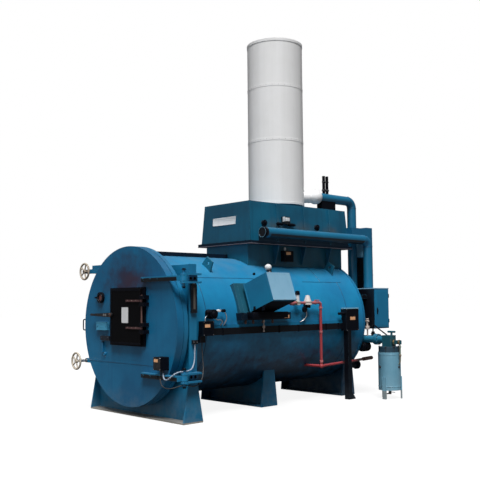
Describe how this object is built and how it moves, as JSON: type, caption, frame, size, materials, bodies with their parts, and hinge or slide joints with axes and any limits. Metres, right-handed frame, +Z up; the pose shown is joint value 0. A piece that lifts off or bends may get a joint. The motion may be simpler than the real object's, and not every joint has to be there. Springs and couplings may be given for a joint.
{
  "type": "medical waste incinerator",
  "caption": "Horizontal round furnace on saddles, with a hinged clamped front door and charging hatch, an afterburner chamber and clad flue stack on top, fan cabinet and air pipes.",
  "frame": {"origin": "on the floor, at the centre of the middle saddle's base plate underside", "axes": "+X to the hinge side of the door, +Y along the barrel from the door to the rear, +Z up"},
  "size_m": [2.7209, 4.672, 5.57],
  "materials": {
    "blue_paint": "semi-gloss enamel",
    "black_paint": "satin",
    "pale_blue_paint": "satin",
    "bright_steel": "bright",
    "aluminium_cladding": "satin sheet",
    "flue_steel": "heat stained",
    "refractory": "rough castable",
    "gasket": "braided rope",
    "red_paint": "satin",
    "conduit_grey": "satin",
    "cable_sheath": "matt",
    "brass_body": "satin"
  },
  "bodies": {
    "furnace": {"air_pipes": "blue_paint", "air_riser": "blue_paint", "burner_box": "blue_paint", "burner_mount": "blue_paint", "burner_trunk": "black_paint", "cable_tray": "black_paint", "chamber_fittings": "black_paint", "chamber_flange": "black_paint", "chamber_linings": "refractory", "chamber_ribs": "blue_paint", "crown_rail": "black_paint", "drain_port": "black_paint", "fan_cabinet": "blue_paint", "filter_vessel": "pale_blue_paint", "flank_sensor": "black_paint", "flue_actuators": "black_paint", "flue_liner": "flue_steel", "front_flange": "blue_paint", "front_saddle": "blue_paint", "fuel_pipe": "red_paint", "fuel_valves": "brass_body", "hinge_brackets": "blue_paint", "hood_casing": "blue_paint", "hood_roof": "blue_paint", "lifting_lugs": "blue_paint", "lining": "refractory", "middle_saddle": "blue_paint", "neck_casing": "blue_paint", "pipe_cradle": "blue_paint", "post_conduit": "conduit_grey", "post_fittings": "black_paint", "post_lead": "cable_sheath", "rear_head": "blue_paint", "rear_saddle": "blue_paint", "shell": "blue_paint", "stack_branch": "aluminium_cladding", "stack_cladding": "aluminium_cladding", "tray_boxes": "black_paint", "vessel_head": "pale_blue_paint", "water_motor": "black_paint", "water_pipe": "blue_paint"},
    "main_door": {"door_casing": "blue_paint", "door_lining": "refractory", "door_gasket": "gasket", "door_brackets": "blue_paint", "hatch_frame": "black_paint", "door_switch_box": "black_paint", "sight_port": "black_paint", "door_fittings": "pale_blue_paint", "door_conduit": "conduit_grey", "door_lead": "cable_sheath"},
    "charging_hatch": {"hatch_leaf": "black_paint", "hatch_plug": "refractory", "hatch_pins": "bright_steel"},
    "hatch_handle": {"hatch_handle": "bright_steel"},
    "upper_clamp_wheel": {"upper_spindle": "black_paint", "upper_handwheel": "bright_steel"},
    "lower_clamp_wheel": {"lower_spindle": "black_paint", "lower_handwheel": "bright_steel"}
  },
  "joints": [
    {"name": "door_hinge", "type": "hinge", "parent": "furnace", "child": "main_door", "pos_m": [1.105, -1.902, 1.182], "axis": [0, 0, 1], "range_deg": [0, 110]},
    {"name": "hatch_hinge", "type": "hinge", "parent": "main_door", "child": "charging_hatch", "pos_m": [0.402, -2.027, 1.335], "axis": [0, 0, 1], "range_deg": [0, 100]},
    {"name": "handle_pivot", "type": "hinge", "parent": "charging_hatch", "child": "hatch_handle", "pos_m": [-0.29, -2.037, 1.325], "axis": [0, 1, 0], "range_deg": [0, 25]},
    {"name": "upper_clamp_screw", "type": "hinge", "parent": "main_door", "child": "upper_clamp_wheel", "pos_m": [-1, -1.962, 1.93], "axis": [0, 1, 0], "continuous": true},
    {"name": "lower_clamp_screw", "type": "hinge", "parent": "main_door", "child": "lower_clamp_wheel", "pos_m": [-1, -1.962, 0.683], "axis": [0, 1, 0], "continuous": true}
  ]
}
